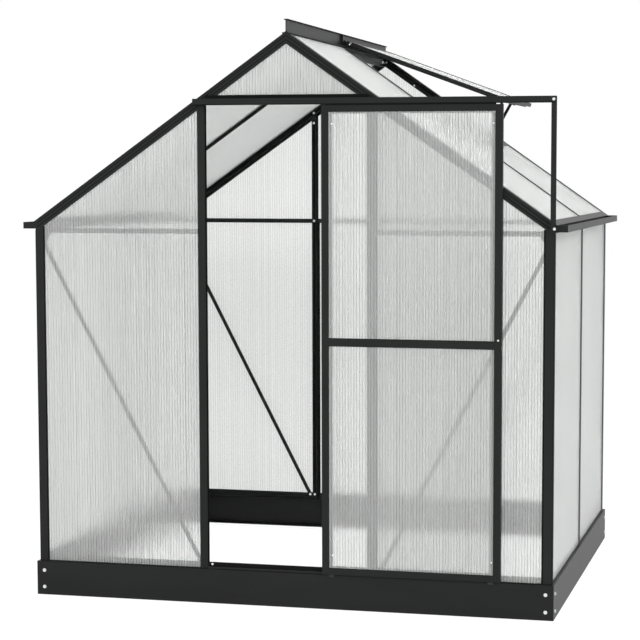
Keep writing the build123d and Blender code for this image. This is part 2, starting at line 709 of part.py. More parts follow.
def make_roof_panels():
    """Twin-wall sheets of the two slopes, and the bar below the vent opening."""
    near = front + corner_side - slot_depth + edge_play
    far = -bar_web / 2 - edge_play
    top = ridge_cover - ridge_seat + edge_play
    low = eave_slope - eave_cover + slot_depth - edge_play
    origin = roof(0, -skin - (slot + sheet) / 2)
    full = [(top, near), (low, near), (low, far), (top, far)]
    front_bay = flat_panel(full, origin, DOWN, Y, OUT)
    parts["roof_panel_right_front"] = [front_bay]
    parts["roof_panels_left"] = [flip_x(front_bay), flip_x(flip_y(front_bay))]
    start = vent_sill_start + vent_sill_cover - vent_sill_slot + edge_play
    short = [(start, -far), (low, -far), (low, -near), (start, -near)]
    parts["roof_panel_right_rear"] = [flat_panel(short, origin, DOWN, Y, OUT)]

    s0, s1, back = vent_sill_start, vent_sill_start + vent_sill_cover, skin + slot
    block_end = s1 - vent_sill_slot
    section = joined([rect(s0, -vent_sill_depth, s0 + skin, 0), rect(s0, -back - skin, block_end, 0),
                      rect(s0, -skin, s1, 0), rect(s0, -back - skin, s1, -back)])
    span_low, span_high = bar_width / 2, half_depth - corner_side
    bar = prism(section, roof(0, 0, span_low), DOWN, OUT, Y, span_high - span_low)
    lug_y = stay_y + stay_thick / 2 + lug_play
    lug = rect(peg_slope - lug_half, peg_normal - lug_half, s0 + skin, -skin)
    bar = bar + prism(lug, roof(0, 0, lug_y), DOWN, OUT, Y, lug_thick)
    peg_length = lug_play - wheel_gap
    peg = rod(roof(peg_slope, peg_normal, lug_y), (0, -1, 0), peg_radius, peg_length)
    parts["vent_sill"] = [bar + peg]


def door_section(width):
    """Door bar: front and back skins with the panel channel between them, drawn from its outer edge."""
    back = skin + slot
    web = width - slot_depth
    return joined([rect(0, 0, width, skin), rect(0, 0, web, back + skin), rect(0, back, width, back + skin),
                   rect(0, 0, skin, door_depth)])


def make_door():
    """Sliding door in the position shown, with its hangers, rollers and guides."""
    shift = door_shift
    left, right = shift - door_width / 2, shift + door_width / 2
    face = front - door_gap - door_depth
    back = skin + slot
    top_low, low_top = door_high - door_rail_top, door_low + door_rail_low
    mid_top = door_mid_low + door_rail_mid
    stile = prism(door_section(door_stile), (left, face, door_low), X, Y, Z, door_high - door_low)
    inner = left + door_stile
    for z0, z1 in ((low_top + rail_lip, door_mid_low), (mid_top, top_low - rail_lip)):
        stile = stile + box(inner, inner + door_flange, face + back, face + back + skin, z0 + edge_play, z1 - edge_play)
    parts["door_stile_left"] = [stile]
    parts["door_stile_right"] = [mirror(stile, about=Plane(origin=(shift, 0, 0), z_dir=X))]

    inner_left, inner_right = left + door_stile, right - door_stile
    length = inner_right - inner_left

    def rail(section):
        return prism(section, (inner_left, face, 0), Y, Z, X, length)

    fin_low = front - track_depth / 2 - rail_fin / 2 - face
    top = rail(joined([rect(0, top_low, skin, door_high), rect(back, top_low - rail_lip, back + skin, door_high),
                       rect(0, top_low + slot_depth - rail_lip, back + skin, door_high),
                       rect(fin_low, door_high - skin, fin_low + rail_fin, door_high + rail_fin_rise)]))
    bottom = rail(joined([rect(0, door_low, skin, low_top), rect(back, door_low, back + skin, low_top + rail_lip),
                          rect(0, door_low, back + skin, low_top - slot_depth),
                          rect(0, door_low, door_depth, door_low + skin)]))
    web_half = bar_web / 2
    mid_middle = (door_mid_low + mid_top) / 2
    middle = rail(joined([rect(0, door_mid_low, skin, mid_top), rect(back, door_mid_low, back + skin, mid_top),
                          rect(0, mid_middle - web_half, back + skin, mid_middle + web_half)]))
    parts["door_rail_top"] = [top]
    parts["door_rail_bottom"] = [bottom]
    parts["door_rail_middle"] = [middle]

    edge_left = left + door_stile - slot_depth + edge_play
    edge_right = right - door_stile + slot_depth - edge_play
    y = face + skin + (slot - sheet) / 2
    lower = [(edge_left, low_top - slot_depth + edge_play), (edge_right, low_top - slot_depth + edge_play),
             (edge_right, mid_middle - web_half - edge_play), (edge_left, mid_middle - web_half - edge_play)]
    upper_top = top_low + slot_depth - rail_lip - edge_play
    upper = [(edge_left, mid_middle + web_half + edge_play), (edge_right, mid_middle + web_half + edge_play),
             (edge_right, upper_top), (edge_left, upper_top)]
    parts["door_panel_lower"] = [flat_panel(lower, (0, y, 0), X, Z, Y)]
    parts["door_panel_upper"] = [flat_panel(upper, (0, y, 0), X, Z, Y)]

    track_middle = front - track_depth / 2
    axle_z = header_low + skin + wheel_gap + wheel_radius
    hangers, guides = [], []
    for side, name in ((-1, "left"), (1, "right")):
        x = shift + side * (door_width / 2 - hanger_inset)
        hanger = box(x - hanger_width / 2, x + hanger_width / 2, track_middle - hanger_sheet / 2,
                     track_middle + hanger_sheet / 2, door_high, axle_z + hanger_width / 2)
        foot = box(x - hanger_width / 2, x + hanger_width / 2, face, face + door_depth, door_high,
                   door_high + hanger_sheet)
        hole = rod((x, track_middle - overrun, axle_z), Y, axle_radius + pivot_play, 2 * overrun)
        hangers.append(hanger + foot - hole)
        spool_half = hanger_sheet / 2 + wheel_gap + wheel_width
        wheel_start = (x, track_middle - spool_half, axle_z)
        axle = rod(wheel_start, Y, axle_radius, 2 * spool_half)
        near_wheel = rod(wheel_start, Y, wheel_radius, wheel_width)
        far_wheel = rod((x, track_middle + spool_half - wheel_width, axle_z), Y, wheel_radius, wheel_width)
        parts["roller_" + name] = [axle + near_wheel + far_wheel]
        guide_x = shift + side * (door_width / 2 - door_stile - guide_length / 2)
        y1 = -base_depth / 2 - guide_play
        guides.append(box(guide_x - guide_length / 2, guide_x + guide_length / 2, y1 - guide_thick, y1,
                          door_low - guide_drop, door_low))
    parts["door_hangers"] = hangers
    parts["door_guides"] = guides


def make_vent():
    """Roof vent hooked on the ridge, drawn closed and swung open, with the stay on its lower rail."""
    hinge = Axis((hinge_x, 0, hinge_z), (0, -1, 0))
    top, bottom = vent_above_hinge, vent_above_hinge - vent_thick
    origin = (hinge_x, vent_near, hinge_z)
    width = vent_far - vent_near
    groove_top = top - skin
    groove_low = groove_top - slot
    s0, s1 = vent_start, vent_length

    def open_up(solid):
        return solid.rotate(hinge, vent_open_angle)

    bead = Circle(socket_inner - pivot_play)
    neck = rect(0, -neck_thick / 2, s0 + skin, neck_thick / 2)
    rail_end = s0 + vent_rail
    body = rect(s0, bottom, rail_end, top) - rect(rail_end - slot_depth, groove_low, rail_end, groove_top)
    hinge_rail = prism(bead + neck + body, origin, DOWN, OUT, Y, width)

    low_start = s1 - vent_rail
    body = rect(low_start, bottom, s1, top) - rect(low_start, groove_low, low_start + slot_depth, groove_top)
    body = body + rect(low_start, bottom - vent_drip, low_start + skin, bottom)
    low_rail = prism(body, origin, DOWN, OUT, Y, width)
    pivot_s = stay_pivot_slope - hinge_slope
    pivot_n = stay_pivot_normal - hinge_normal
    lug_y = stay_y + stay_thick / 2 + lug_play - vent_near
    lug = rect(pivot_s - lug_half, pivot_n - lug_half, low_start + skin, bottom + skin)
    lug_solid = prism(lug, (hinge_x, vent_near + lug_y, hinge_z), DOWN, OUT, Y, lug_thick)
    pivot_x = hinge_x + pivot_s * cos(pitch) + pivot_n * sin(pitch)
    pivot_z = hinge_z - pivot_s * sin(pitch) + pivot_n * cos(pitch)
    pin_length = lug_play + stay_thick + lug_play
    pin_start = (pivot_x, vent_near + lug_y, pivot_z)
    pin = rod(pin_start, (0, -1, 0), axle_radius, pin_length + pin_head_thick)
    head = rod((pivot_x, vent_near + lug_y - pin_length, pivot_z), (0, -1, 0), pin_head_radius, pin_head_thick)
    low_rail = low_rail + lug_solid + pin + head

    side_section = rect(0, bottom, vent_rail, top) - rect(vent_rail - slot_depth, groove_low, vent_rail, groove_top)
    side_section = side_section + rect(vent_rail - skin, bottom - vent_lip, vent_rail, bottom)
    rail_start = (hinge_x + rail_end * cos(pitch), vent_near, hinge_z - rail_end * sin(pitch))
    near_rail = prism(side_section, rail_start, Y, OUT, DOWN, low_start - rail_end)
    middle_y = (vent_near + vent_far) / 2
    far_rail = mirror(near_rail, about=Plane(origin=(0, middle_y, 0), z_dir=Y))

    inset = vent_rail - slot_depth + edge_play
    glass_start, glass_end = s0 + inset, s1 - inset
    glass = [(glass_start, vent_near + inset), (glass_end, vent_near + inset),
             (glass_end, vent_far - inset), (glass_start, vent_far - inset)]
    glass_low = groove_low + (slot - sheet) / 2
    glass_origin = (hinge_x + glass_low * sin(pitch), 0, hinge_z + glass_low * cos(pitch))
    panel = flat_panel(glass, glass_origin, DOWN, Y, OUT)

    parts["vent_hinge_rail"] = [open_up(hinge_rail)]
    parts["vent_bottom_rail"] = [open_up(low_rail)]
    parts["vent_side_rails"] = [open_up(near_rail), open_up(far_rail)]
    parts["vent_panel"] = [open_up(panel)]

    swing = Vector(pivot_x - hinge_x, 0, pivot_z - hinge_z).rotate(Axis.Y, -vent_open_angle)
    pivot = (hinge_x + swing.X, hinge_z + swing.Z)
    peg = roof(peg_slope, peg_normal)
    reach = hypot(peg[0] - pivot[0], peg[2] - pivot[1])
    toward = (Vector(peg[0] - pivot[0], 0, peg[2] - pivot[1])).normalized()
    across = toward.cross(Vector(*Y))
    outline = Pos(stay_length / 2 - stay_width / 2, 0) * SlotOverall(stay_length, stay_width)
    outline = outline - Circle(axle_radius + pivot_play)
    for step in range(hole_count):
        place = reach + (step - hole_count + 2) * hole_pitch
        outline = outline - Pos(place, 0) * Circle(axle_radius + pivot_play)
    stay = prism(outline, (pivot[0], stay_y - stay_thick / 2, pivot[1]), tuple(toward), tuple(across), Y, stay_thick)
    parts["vent_stay"] = [stay]


def write_parts():
    """One STEP file for each named piece or group of like pieces."""
    os.makedirs("parts", exist_ok=True)
    for name, solids in sorted(parts.items()):
        pieces = [piece for shape in solids for piece in shape.solids()]
        whole = pieces[0] if len(pieces) == 1 else Compound(children=pieces)
        whole.label = name
        export_step(whole, "parts/" + name + ".step")
    print(len(parts), "nodes")


make_base()
make_sills()
make_posts()
make_rafters()
make_ridge()
make_eaves()
make_header_and_track()
make_ties_and_braces()
make_wall_panels()
make_roof_panels()
make_door()
make_vent()
write_parts()
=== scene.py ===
"""Walk-in greenhouse in a white studio: charcoal powder-coated bars, frosted twin-wall sheets, zinc bolts."""
from math import cos, pi, radians, sin
import bpy
from mathutils import Matrix, Vector


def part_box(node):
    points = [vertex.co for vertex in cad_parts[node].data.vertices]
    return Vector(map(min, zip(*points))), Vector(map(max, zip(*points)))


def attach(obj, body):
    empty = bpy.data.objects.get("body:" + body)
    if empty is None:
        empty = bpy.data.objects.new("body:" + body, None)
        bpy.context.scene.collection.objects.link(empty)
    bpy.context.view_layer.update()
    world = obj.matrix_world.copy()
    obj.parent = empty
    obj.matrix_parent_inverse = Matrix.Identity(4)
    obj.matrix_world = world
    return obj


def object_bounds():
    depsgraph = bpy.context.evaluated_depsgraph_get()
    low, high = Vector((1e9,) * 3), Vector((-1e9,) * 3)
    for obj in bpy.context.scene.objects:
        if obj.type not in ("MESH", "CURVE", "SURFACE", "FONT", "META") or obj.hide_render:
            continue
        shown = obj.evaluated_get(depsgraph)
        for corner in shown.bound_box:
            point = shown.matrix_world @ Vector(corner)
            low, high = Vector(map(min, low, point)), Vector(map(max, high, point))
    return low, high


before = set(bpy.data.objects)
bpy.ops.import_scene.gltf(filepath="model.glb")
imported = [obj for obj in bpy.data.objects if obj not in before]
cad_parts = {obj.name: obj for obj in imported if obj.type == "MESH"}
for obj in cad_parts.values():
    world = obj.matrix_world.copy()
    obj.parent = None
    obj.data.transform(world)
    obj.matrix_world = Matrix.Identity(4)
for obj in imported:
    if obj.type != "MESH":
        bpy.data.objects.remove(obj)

MM = 0.001
cad_low, cad_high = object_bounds()


def linear(code):
    """sRGB hex to the linear colour that shaders take."""
    parts = [int(code[i:i + 2], 16) / 255 for i in (1, 3, 5)]
    return [c / 12.92 if c <= 0.04045 else ((c + 0.055) / 1.055) ** 2.4 for c in parts] + [1.0]


def add_node(tree, kind, links=None, inputs=None, stops=(), **settings):
    """Add a node, set its properties, input values and colour stops, and link its inputs."""
    made = tree.nodes.new(kind)
    for name, value in settings.items():
        setattr(made, name, value)
    for key, value in (inputs or {}).items():
        made.inputs[key].default_value = value
    for key, source in (links or {}).items():
        tree.links.new(source, made.inputs[key])
    for k, (position, code) in enumerate(stops):
        made.color_ramp.elements[k].position = position
        made.color_ramp.elements[k].color = linear(code)
    return made


def new_material(name):
    """Empty node material with its output."""
    material = bpy.data.materials.new(name)
    material.use_nodes = True
    tree = material.node_tree
    tree.nodes.clear()
    output = add_node(tree, "ShaderNodeOutputMaterial")
    return material, tree, output


def across_bar(tree, turn):
    """Object coordinates as they are, and turned so that X runs along a bar, as separate values."""
    place = add_node(tree, "ShaderNodeTexCoord").outputs["Object"]
    turned = add_node(tree, "ShaderNodeMapping", {"Vector": place}, {"Rotation": turn})
    return place, add_node(tree, "ShaderNodeSeparateXYZ", {"Vector": turned.outputs["Vector"]})


def ridges(tree, value, pitch, share):
    """Flat lands with narrow rounded grooves at a real pitch along one value, as a height from 0 to 1."""
    scaled = add_node(tree, "ShaderNodeMath", {0: value}, {1: 1.0 / pitch}, operation="MULTIPLY")
    cell = add_node(tree, "ShaderNodeMath", {0: scaled.outputs[0]}, operation="FRACT")
    centred = add_node(tree, "ShaderNodeMath", {0: cell.outputs[0]}, {1: 0.5}, operation="SUBTRACT")
    apart = add_node(tree, "ShaderNodeMath", {0: centred.outputs[0]}, operation="ABSOLUTE")
    land = add_node(tree, "ShaderNodeMapRange", {"Value": apart.outputs[0]},
                    {"From Min": 0.5, "From Max": 0.5 - share}, interpolation_type="SMOOTHSTEP")
    return land.outputs["Result"]


# Spacings of the finishes' patterns
DIE_LINE_PITCH = 6.0 * MM
DIE_LINE_SHARE = 0.14           # of the pitch, on either side of a line
PEEL = 4.0 * MM                 # about 0.4 mm on real powder coat, drawn coarser so that it shows
COAT_CLOUD = 200.0 * MM
FOLD_WAVE = 400.0 * MM
FLUTE_PITCH = 10.2 * MM
FLUTE_SHARE = 0.24              # of the pitch, on either side of a web
FLOW_WAVE = 5.0 * MM            # across the flutes
SHEET_CLOUD = 625.0 * MM
ZINC_GRAIN = 2.5 * MM           # far finer on real plate, drawn coarser so that it shows
SPARK_PIT = 1.1 * MM            # finer on real mouldings, drawn coarser so that it shows
RUBBER_BLOOM = 16.7 * MM


# Polyester powder coat over extruded aluminium: charcoal, satin, with the die's fine lengthwise lines showing
# through and a slight orange peel.
def powder_coated_extrusion(name, turn):
    material, tree, output = new_material(name)
    place, axes = across_bar(tree, turn)
    first = ridges(tree, axes.outputs["Y"], DIE_LINE_PITCH, DIE_LINE_SHARE)
    second = ridges(tree, axes.outputs["Z"], DIE_LINE_PITCH, DIE_LINE_SHARE)
    lines = add_node(tree, "ShaderNodeMath", {0: first, 1: second}, operation="MULTIPLY")
    peel = add_node(tree, "ShaderNodeTexNoise", {"Vector": place}, {"Scale": 1.0 / PEEL, "Detail": 2.0})
    clouds = add_node(tree, "ShaderNodeTexNoise", {"Vector": place},
                      {"Scale": 1.0 / COAT_CLOUD, "Detail": 3.0})
    tone = add_node(tree, "ShaderNodeValToRGB", {"Fac": clouds.outputs["Fac"]},
                    stops=((0.3, "#151716"), (0.7, "#1B1D1C")))
    line_bump = add_node(tree, "ShaderNodeBump", {"Height": lines.outputs[0]},
                         {"Strength": 0.4, "Distance": 0.3 * MM})
    peel_bump = add_node(tree, "ShaderNodeBump",
                         {"Height": peel.outputs["Fac"], "Normal": line_bump.outputs["Normal"]},
                         {"Strength": 0.08, "Distance": 0.2 * MM})
    rough = add_node(tree, "ShaderNodeMapRange", {"Value": peel.outputs["Fac"]},
                     {"To Min": 0.38, "To Max": 0.48})
    coat = add_node(tree, "ShaderNodeBsdfPrincipled",
                    {"Base Color": tone.outputs["Color"], "Roughness": rough.outputs["Result"],
                     "Normal": peel_bump.outputs["Normal"]},
                    {"IOR": 1.5, "Specular IOR Level": 0.22})
    tree.links.new(coat.outputs["BSDF"], output.inputs["Surface"])
    return material


# The same coat over folded galvanised sheet: smoother, with faint waviness from the folding.
def powder_coated_sheet():
    material, tree, output = new_material("powder_coated_steel_sheet")
    place = add_node(tree, "ShaderNodeTexCoord").outputs["Object"]
    stretched = add_node(tree, "ShaderNodeMapping", {"Vector": place}, {"Scale": (1.0, 1.0, 6.0)})
    waves = add_node(tree, "ShaderNodeTexNoise", {"Vector": stretched.outputs["Vector"]},
                     {"Scale": 1.0 / FOLD_WAVE, "Detail": 1.0})
    peel = add_node(tree, "ShaderNodeTexNoise", {"Vector": place}, {"Scale": 1.0 / PEEL, "Detail": 2.0})
    tone = add_node(tree, "ShaderNodeValToRGB", {"Fac": waves.outputs["Fac"]},
                    stops=((0.3, "#161717"), (0.75, "#1B1C1C")))
    wave_bump = add_node(tree, "ShaderNodeBump", {"Height": waves.outputs["Fac"]},
                         {"Strength": 0.15, "Distance": 4.0 * MM})
    peel_bump = add_node(tree, "ShaderNodeBump",
                         {"Height": peel.outputs["Fac"], "Normal": wave_bump.outputs["Normal"]},
                         {"Strength": 0.08, "Distance": 0.2 * MM})
    coat = add_node(tree, "ShaderNodeBsdfPrincipled",
                    {"Base Color": tone.outputs["Color"], "Normal": peel_bump.outputs["Normal"]},
                    {"IOR": 1.5, "Specular IOR Level": 0.22, "Roughness": 0.42})
    tree.links.new(coat.outputs["BSDF"], output.inputs["Surface"])
    return material


# Extruded twin-wall polycarbonate: two thin skins joined by webs. Each flute is a narrow lens, so what is
# behind is smeared across the flutes and stays sharp along them, with a darker line at each web. smear is how
# far the lenses bend light, frost how hazy the skins are, and through the share of light that passes straight
# on, the rest being scattered as milky white.
def twin_wall_polycarbonate(name, turn, clear, cloudy, smear, frost, through):
    material, tree, output = new_material(name)
    place, axes = across_bar(tree, turn)
    across = axes.outputs["Y"]
    flute = ridges(tree, across, FLUTE_PITCH, FLUTE_SHARE)
    # Every flute is a little clearer or cloudier than the next, as extruded sheet is.
    cell = add_node(tree, "ShaderNodeMath", {0: across}, {1: 1.0 / FLUTE_PITCH}, operation="MULTIPLY")
    index = add_node(tree, "ShaderNodeMath", {0: cell.outputs[0]}, operation="FLOOR")
    chance = add_node(tree, "ShaderNodeTexWhiteNoise", {"W": index.outputs[0]}, noise_dimensions="1D")
    cloud = add_node(tree, "ShaderNodeTexNoise", {"Vector": place},
                     {"Scale": 1.0 / SHEET_CLOUD, "Detail": 2.0})
    drift = add_node(tree, "ShaderNodeMath", {0: chance.outputs["Value"], 1: cloud.outputs["Fac"]},
                     operation="ADD")
    gain = add_node(tree, "ShaderNodeMapRange", {"Value": drift.outputs[0]},
                    {"From Max": 2.0, "To Min": 0.92, "To Max": 1.0})
    tone = add_node(tree, "ShaderNodeValToRGB", {"Fac": flute}, stops=((0.0, cloudy), (1.0, clear)))
    tint = add_node(tree, "ShaderNodeVectorMath",
                    {0: tone.outputs["Color"], "Scale": gain.outputs["Result"]}, operation="SCALE")
    # The lens of a flute and the die's flow waves bend light across the flutes only.
    waves = add_node(tree, "ShaderNodeTexNoise", {"W": across}, {"Scale": 1.0 / FLOW_WAVE, "Detail": 1.0},
                     noise_dimensions="1D")
    wave_bump = add_node(tree, "ShaderNodeBump", {"Height": waves.outputs["Fac"]},
                         {"Strength": 1.0, "Distance": smear})
    lens = add_node(tree, "ShaderNodeBump", {"Height": flute, "Normal": wave_bump.outputs["Normal"]},
                    {"Strength": 0.25, "Distance": 0.4 * MM})
    sheet = add_node(tree, "ShaderNodeBsdfPrincipled",
                     {"Base Color": tint.outputs["Vector"], "Normal": lens.outputs["Normal"]},
                     {"Roughness": frost, "IOR": 1.25, "Transmission Weight": through})
    tree.links.new(sheet.outputs["BSDF"], output.inputs["Surface"])
    return material


# Bright zinc plate on rolled steel: pale blue-white metal with a soft sheen.
def zinc_plate():
    material, tree, output = new_material("zinc_plated_steel")
    place = add_node(tree, "ShaderNodeTexCoord").outputs["Object"]
    grain = add_node(tree, "ShaderNodeTexNoise", {"Vector": place},
                     {"Scale": 1.0 / ZINC_GRAIN, "Detail": 2.0})
    tone = add_node(tree, "ShaderNodeValToRGB", {"Fac": grain.outputs["Fac"]},
                    stops=((0.0, "#E4E6E8"), (1.0, "#F8F9FA")))
    rough = add_node(tree, "ShaderNodeMapRange", {"Value": grain.outputs["Fac"]},
                     {"To Min": 0.28, "To Max": 0.42})
    plate = add_node(tree, "ShaderNodeBsdfPrincipled",
                     {"Base Color": tone.outputs["Color"], "Roughness": rough.outputs["Result"]},
                     {"Metallic": 1.0})
    tree.links.new(plate.outputs["BSDF"], output.inputs["Surface"])
    return material


# Moulded nylon for rollers and guides: black, dull, with a fine spark-eroded texture.
def moulded_nylon():
    material, tree, output = new_material("moulded_nylon")
    place = add_node(tree, "ShaderNodeTexCoord").outputs["Object"]
    spark = add_node(tree, "ShaderNodeTexNoise", {"Vector": place}, {"Scale": 1.0 / SPARK_PIT, "Detail": 2.0})
    tone = add_node(tree, "ShaderNodeValToRGB", {"Fac": spark.outputs["Fac"]},
                    stops=((0.0, "#141515"), (1.0, "#1D1E1E")))
    pits = add_node(tree, "ShaderNodeBump", {"Height": spark.outputs["Fac"]},
                    {"Strength": 0.2, "Distance": 0.1 * MM})
    nylon_skin = add_node(tree, "ShaderNodeBsdfPrincipled",
                          {"Base Color": tone.outputs["Color"], "Normal": pits.outputs["Normal"]},
                          {"Roughness": 0.6, "IOR": 1.5})
    tree.links.new(nylon_skin.outputs["BSDF"], output.inputs["Surface"])
    return material


# Extruded EPDM rubber for glazing seals and draught strips: deep black, matt, with a faint cloudy bloom. The
# same black is also painted shade: strips of it are laid where the bars' grooves, recesses and gaps are only
# in shade.
def extruded_rubber_and_painted_shade():
    material, tree, output = new_material("extruded_epdm_rubber_and_painted_shade")
    place = add_node(tree, "ShaderNodeTexCoord").outputs["Object"]
    bloom = add_node(tree, "ShaderNodeTexNoise", {"Vector": place},
                     {"Scale": 1.0 / RUBBER_BLOOM, "Detail": 3.0})
    tone = add_node(tree, "ShaderNodeValToRGB", {"Fac": bloom.outputs["Fac"]},
                    stops=((0.0, "#050505"), (1.0, "#0B0B0B")))
    haze = add_node(tree, "ShaderNodeBump", {"Height": bloom.outputs["Fac"]},
                    {"Strength": 0.1, "Distance": 0.2 * MM})
    rubber_and_shade_skin = add_node(tree, "ShaderNodeBsdfPrincipled",
                           {"Base Color": tone.outputs["Color"], "Normal": haze.outputs["Normal"]},
                           {"Roughness": 0.75, "IOR": 1.5, "Specular IOR Level": 0.15})
    tree.links.new(rubber_and_shade_skin.outputs["BSDF"], output.inputs["Surface"])
    return material


ROOF = radians(35.0)            # slope of the roof
VENT = radians(20.0)            # slope of the vent as the photograph shows it
ALONG_X = (0.0, 0.0, 0.0)
ALONG_Y = (0.0, 0.0, radians(90.0))
ALONG_Z = (0.0, radians(90.0), 0.0)

upright = powder_coated_extrusion("powder_coated_extrusion_upright", ALONG_Z)
crosswise = powder_coated_extrusion("powder_coated_extrusion_crosswise", ALONG_X)
lengthwise = powder_coated_extrusion("powder_coated_extrusion_lengthwise", ALONG_Y)
right_slope = powder_coated_extrusion("powder_coated_extrusion_right_slope", (0.0, -ROOF, 0.0))
left_slope = powder_coated_extrusion("powder_coated_extrusion_left_slope", (0.0, ROOF, 0.0))
vent_slope = powder_coated_extrusion("powder_coated_extrusion_vent_slope", (0.0, -VENT, 0.0))
steel_sheet = powder_coated_sheet()
# The flutes of the gables' sheets are counted along X, those of the side walls and the roof along Y.
front_sheet = twin_wall_polycarbonate("twin_wall_polycarbonate_front", ALONG_Y,
                                      "#FCFDFC", "#D2D4D3", smear=2.4 * MM, frost=0.11, through=0.72)
rear_sheet = twin_wall_polycarbonate("twin_wall_polycarbonate_rear", ALONG_Y,
                                     "#FEFFFE", "#EAEBEA", smear=0.8 * MM, frost=0.2, through=0.84)
side_sheet = twin_wall_polycarbonate("twin_wall_polycarbonate_side", ALONG_X,
                                     "#FDFEFD", "#F0F2F1", smear=0.4 * MM, frost=0.45, through=0.84)
zinc = zinc_plate()
nylon = moulded_nylon()
# Black rubber for real seals, also used as painted shade in the bars' grooves and gaps
rubber_and_shade = extruded_rubber_and_painted_shade()

FINISHES = {
    upright: ["corner_post_front_left", "corner_post_front_right", "corner_post_rear_left",
              "corner_post_rear_right", "door_post_left", "door_post_right", "rear_studs", "side_stud_left",
              "side_stud_right", "track_post", "door_stile_left", "door_stile_right"],
    crosswise: ["sill_front", "sill_rear", "door_header", "door_track", "front_ties", "rear_tie",
                "door_rail_top", "door_rail_middle", "door_rail_bottom"],
    lengthwise: ["sill_left", "sill_right", "ridge_bar", "gutter_left", "gutter_right", "vent_sill",
                 "vent_hinge_rail", "vent_bottom_rail"],
    right_slope: ["rafter_front_right", "rafter_mid_right"],
    left_slope: ["rafter_front_left", "rafter_mid_left", "rear_rafters"],
    vent_slope: ["vent_side_rails"],
    steel_sheet: ["base_front", "base_rear", "base_left", "base_right", "front_braces", "rear_braces",
                  "joint_plates", "door_hangers", "vent_stay"],
    front_sheet: ["panel_front_left", "panel_front_right", "panel_front_gable", "door_panel_upper",
                  "door_panel_lower"],
    rear_sheet: ["panels_rear"],
    side_sheet: ["panels_left", "panels_right", "roof_panels_left", "roof_panel_right_front",
                 "roof_panel_right_rear", "vent_panel"],
    zinc: ["frame_bolts"],
    nylon: ["door_guides", "roller_left", "roller_right"],
}


def dress_nodes():
    """Give every carried-over piece its finish."""
    for material, names in FINISHES.items():
        for name in names:
            for place in bpy.data.objects[name].material_slots:
                place.material = material


dress_nodes()


def shape_mesh(name, rows):
    """Mesh through rows of points, each row a closed ring, with capped ends."""
    count = len(rows[0])
    faces = [(a + b, a + (b + 1) % count, a + count + (b + 1) % count, a + count + b)
             for a in range(0, (len(rows) - 1) * count, count) for b in range(count)]
    faces += [tuple(reversed(range(count))), tuple(range((len(rows) - 1) * count, len(rows) * count))]
    mesh = bpy.data.meshes.new(name)
    mesh.from_pydata([point for row in rows for point in row], [], faces)
    return bpy.data.objects.new(name, mesh)


def strip_shape():
    """Strip one unit long, wide and high with a rounded back, lying on its flat side along X."""
    profile = [(-0.5, 0.0), (0.5, 0.0), (0.5, 0.5), (0.34, 0.88), (0.12, 1.0), (-0.12, 1.0), (-0.34, 0.88),
               (-0.5, 0.5)]
    return shape_mesh("strip_shape", [[(x, y, z) for y, z in profile] for x in (0.0, 1.0)])


def screw_shape():
    """Button-head screw with a socket, one unit across, standing on its seat along Z."""
    outline = [(0.5, 0.0), (0.5, 0.1), (0.42, 0.24), (0.3, 0.32), (0.2, 0.34), (0.2, 0.12)]
    sides = 12
    turns = [2 * pi * k / sides for k in range(sides)]
    rings = [[(r * cos(turn), r * sin(turn), z) for turn in turns] for r, z in outline]
    return shape_mesh("screw_shape", rings)


def repeat_tree():
    """Puts a shape on every vertex, turned and sized by the vertex's own values."""
    tree = bpy.data.node_groups.new("repeat_shape", "GeometryNodeTree")
    for name, kind in (("Places", "NodeSocketGeometry"), ("Shape", "NodeSocketObject"),
                       ("Finish", "NodeSocketMaterial")):
        tree.interface.new_socket(name=name, in_out="INPUT", socket_type=kind)
    tree.interface.new_socket(name="Result", in_out="OUTPUT", socket_type="NodeSocketGeometry")
    given = add_node(tree, "NodeGroupInput")
    turn, size = [add_node(tree, "GeometryNodeInputNamedAttribute", inputs={"Name": name},
                           data_type="FLOAT_VECTOR") for name in ("turn", "size")]
    shape = add_node(tree, "GeometryNodeObjectInfo", {"Object": given.outputs["Shape"]})
    copies = add_node(tree, "GeometryNodeInstanceOnPoints",
                      {"Points": given.outputs["Places"], "Instance": shape.outputs["Geometry"],
                       "Rotation": turn.outputs["Attribute"], "Scale": size.outputs["Attribute"]})
    real = add_node(tree, "GeometryNodeRealizeInstances", {"Geometry": copies.outputs["Instances"]})
    painted = add_node(tree, "GeometryNodeSetMaterial",
                       {"Geometry": real.outputs["Geometry"], "Material": given.outputs["Finish"]})
    add_node(tree, "NodeGroupOutput", {"Result": painted.outputs["Geometry"]})
    return tree


REPEAT = repeat_tree()


def repeated_piece(name, shape, places, finish, body):
    """One mesh of copies of a shape; a place is (position, along, out, size)."""
    mesh = bpy.data.meshes.new(name + "_places")
    mesh.from_pydata([place[0] for place in places], [], [])
    turn = mesh.attributes.new("turn", "FLOAT_VECTOR", "POINT")
    size = mesh.attributes.new("size", "FLOAT_VECTOR", "POINT")
    for k, (_, along, out, extent) in enumerate(places):
        x = Vector(along).normalized()
        z = Vector(out).normalized()
        turn.data[k].vector = Matrix((x, z.cross(x), z)).transposed().to_euler()
        size.data[k].vector = extent
    holder = bpy.data.objects.new(name + "_places", mesh)
    bpy.context.scene.collection.objects.link(holder)
    modifier = holder.modifiers.new("repeat", "NODES")
    modifier.node_group = REPEAT
    for item in REPEAT.interface.items_tree:
        if item.in_out == "INPUT" and item.name in ("Shape", "Finish"):
            modifier[item.identifier] = shape if item.name == "Shape" else finish
    bpy.context.view_layer.update()
    done = bpy.data.meshes.new_from_object(holder.evaluated_get(bpy.context.evaluated_depsgraph_get()))
    done.name = name
    bpy.data.objects.remove(holder)
    piece = bpy.data.objects.new(name, done)
    bpy.context.scene.collection.objects.link(piece)
    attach(piece, body)


# Seals and black strips of painted shade, beads and screws

FRONT = (0.0, -1.0, 0.0)
REAR = (0.0, 1.0, 0.0)
RIGHT = (1.0, 0.0, 0.0)
SIDES = (-1.0, 1.0)

